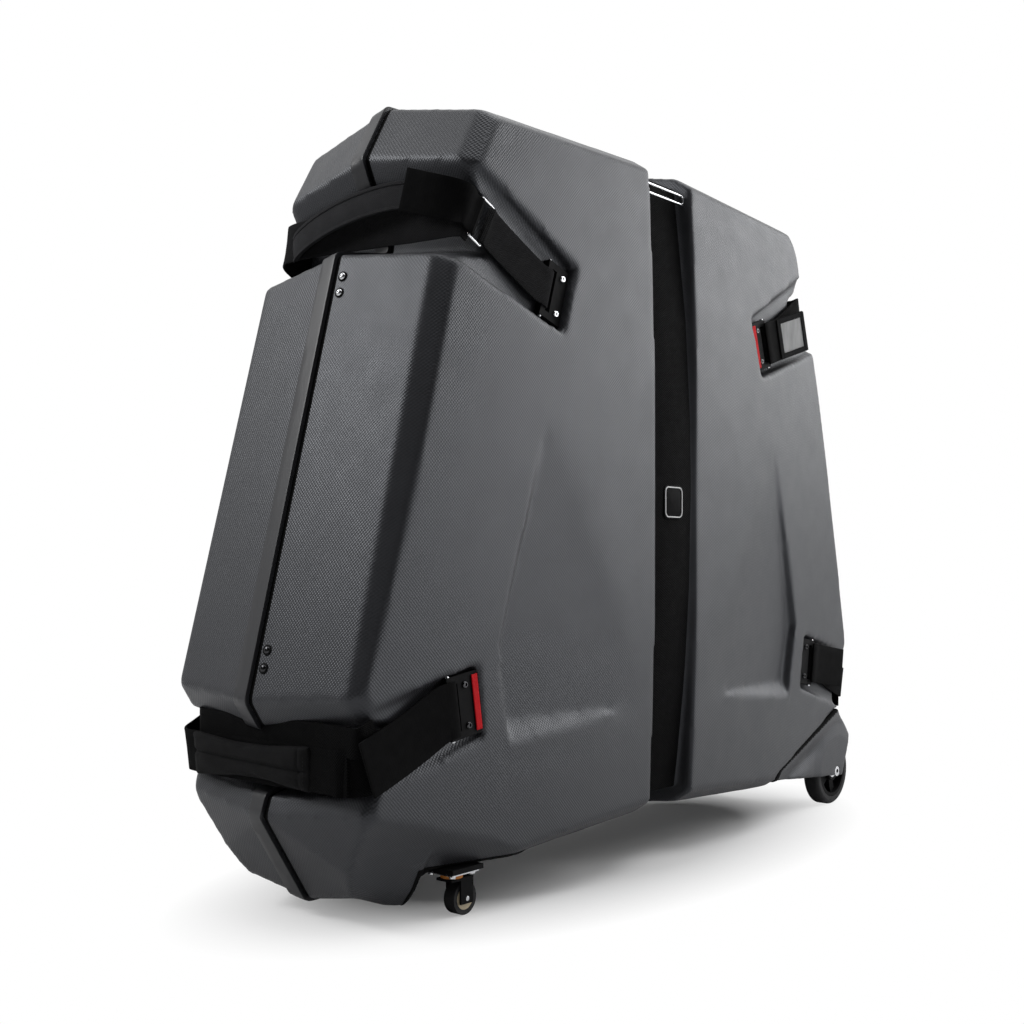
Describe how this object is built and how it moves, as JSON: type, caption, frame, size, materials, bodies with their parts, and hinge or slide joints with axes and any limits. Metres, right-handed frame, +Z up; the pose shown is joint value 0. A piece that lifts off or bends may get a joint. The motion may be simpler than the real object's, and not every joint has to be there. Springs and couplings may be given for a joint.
{
  "type": "bike travel case",
  "caption": "Upright hard bike travel case in two moulded halves, with webbing straps, padded grab handles, swivel casters at one end and large wheels under fenders at the other.",
  "frame": {"origin": "on the floor, below the middle of the case, in the plane where the two halves meet", "axes": "+X along the length to the end with the large wheels, +Y across to the far half, +Z up"},
  "size_m": [1.2126, 0.37, 1.0118],
  "materials": {
    "shell": "satin charcoal with a fine woven dot texture",
    "lip": "smooth satin",
    "seal": "matte black",
    "black_plastic": "satin black",
    "steel": "bright",
    "webbing": "ribbed webbing",
    "padding": "padded cloth with channel stitching",
    "clear_plastic": "clear card window",
    "red_fabric": "plain",
    "orange_plastic": "satin orange",
    "cream_plastic": "satin cream",
    "tyre": "matte black",
    "foam": "open foam"
  },
  "bodies": {
    "far_half": {"far_shell": "shell", "seam_lip": "lip", "rim_seal": "seal", "front_upper_handle": "padding", "front_lower_handle": "padding", "mid_strap_far": "webbing", "front_upper_strap": "webbing", "front_lower_strap": "webbing", "rear_upper_strap": "webbing", "rear_lower_strap": "webbing", "far_bracket_screws": "steel", "far_caster_plate": "steel", "far_caster_bolts": "steel", "far_rear_axle": "steel", "far_dust_ring": "orange_plastic", "far_caster_housing": "black_plastic", "far_fender": "shell", "far_foam_pad": "foam", "far_front_upper_bracket": "black_plastic", "far_front_lower_bracket": "black_plastic", "far_rear_upper_bracket": "black_plastic", "far_rear_lower_bracket": "black_plastic"},
    "near_half": {"near_shell": "shell", "strap_rings": "steel", "alignment_tabs": "steel", "tab_rivets": "steel", "id_window": "clear_plastic", "red_tabs": "red_fabric", "mid_strap_near": "webbing", "front_upper_anchor": "webbing", "front_upper_flap": "webbing", "front_lower_flap": "webbing", "rear_upper_flap": "webbing", "rear_lower_flap": "webbing", "near_bracket_screws": "steel", "near_caster_plate": "steel", "near_caster_bolts": "steel", "near_rear_axle": "steel", "near_dust_ring": "orange_plastic", "near_caster_housing": "black_plastic", "near_fender": "shell", "near_foam_pad": "foam", "near_front_upper_bracket": "black_plastic", "near_front_lower_bracket": "black_plastic", "near_rear_upper_bracket": "black_plastic", "near_rear_lower_bracket": "black_plastic"},
    "near_caster_swivel": {"near_caster_fork": "black_plastic", "near_caster_axle": "steel"},
    "near_caster_wheel": {"near_caster_tyre": "tyre", "near_caster_core": "cream_plastic"},
    "near_rear_wheel": {"near_rear_tyre": "tyre", "near_rear_rim": "black_plastic", "near_rear_bearings": "steel"},
    "far_caster_swivel": {"far_caster_fork": "black_plastic", "far_caster_axle": "steel"},
    "far_caster_wheel": {"far_caster_tyre": "tyre", "far_caster_core": "cream_plastic"},
    "far_rear_wheel": {"far_rear_tyre": "tyre", "far_rear_rim": "black_plastic", "far_rear_bearings": "steel"}
  },
  "joints": [
    {"name": "near_half_lift_off", "type": "slide", "parent": "far_half", "child": "near_half", "axis": [0, -1, 0], "range_m": [0, 0.3]},
    {"name": "near_caster_turn", "type": "hinge", "parent": "near_half", "child": "near_caster_swivel", "pos_m": [-0.4, -0.128, 0.05], "axis": [0, 0, 1], "continuous": true},
    {"name": "near_caster_roll", "type": "hinge", "parent": "near_caster_swivel", "child": "near_caster_wheel", "pos_m": [-0.386, -0.128, 0.02], "axis": [0, 1, 0], "continuous": true},
    {"name": "near_rear_roll", "type": "hinge", "parent": "near_half", "child": "near_rear_wheel", "pos_m": [0.548, -0.138, 0.058], "axis": [0, 1, 0], "continuous": true},
    {"name": "far_caster_turn", "type": "hinge", "parent": "far_half", "child": "far_caster_swivel", "pos_m": [-0.4, 0.128, 0.05], "axis": [0, 0, 1], "continuous": true},
    {"name": "far_caster_roll", "type": "hinge", "parent": "far_caster_swivel", "child": "far_caster_wheel", "pos_m": [-0.386, 0.128, 0.02], "axis": [0, 1, 0], "continuous": true},
    {"name": "far_rear_roll", "type": "hinge", "parent": "far_half", "child": "far_rear_wheel", "pos_m": [0.548, 0.138, 0.058], "axis": [0, 1, 0], "continuous": true}
  ]
}
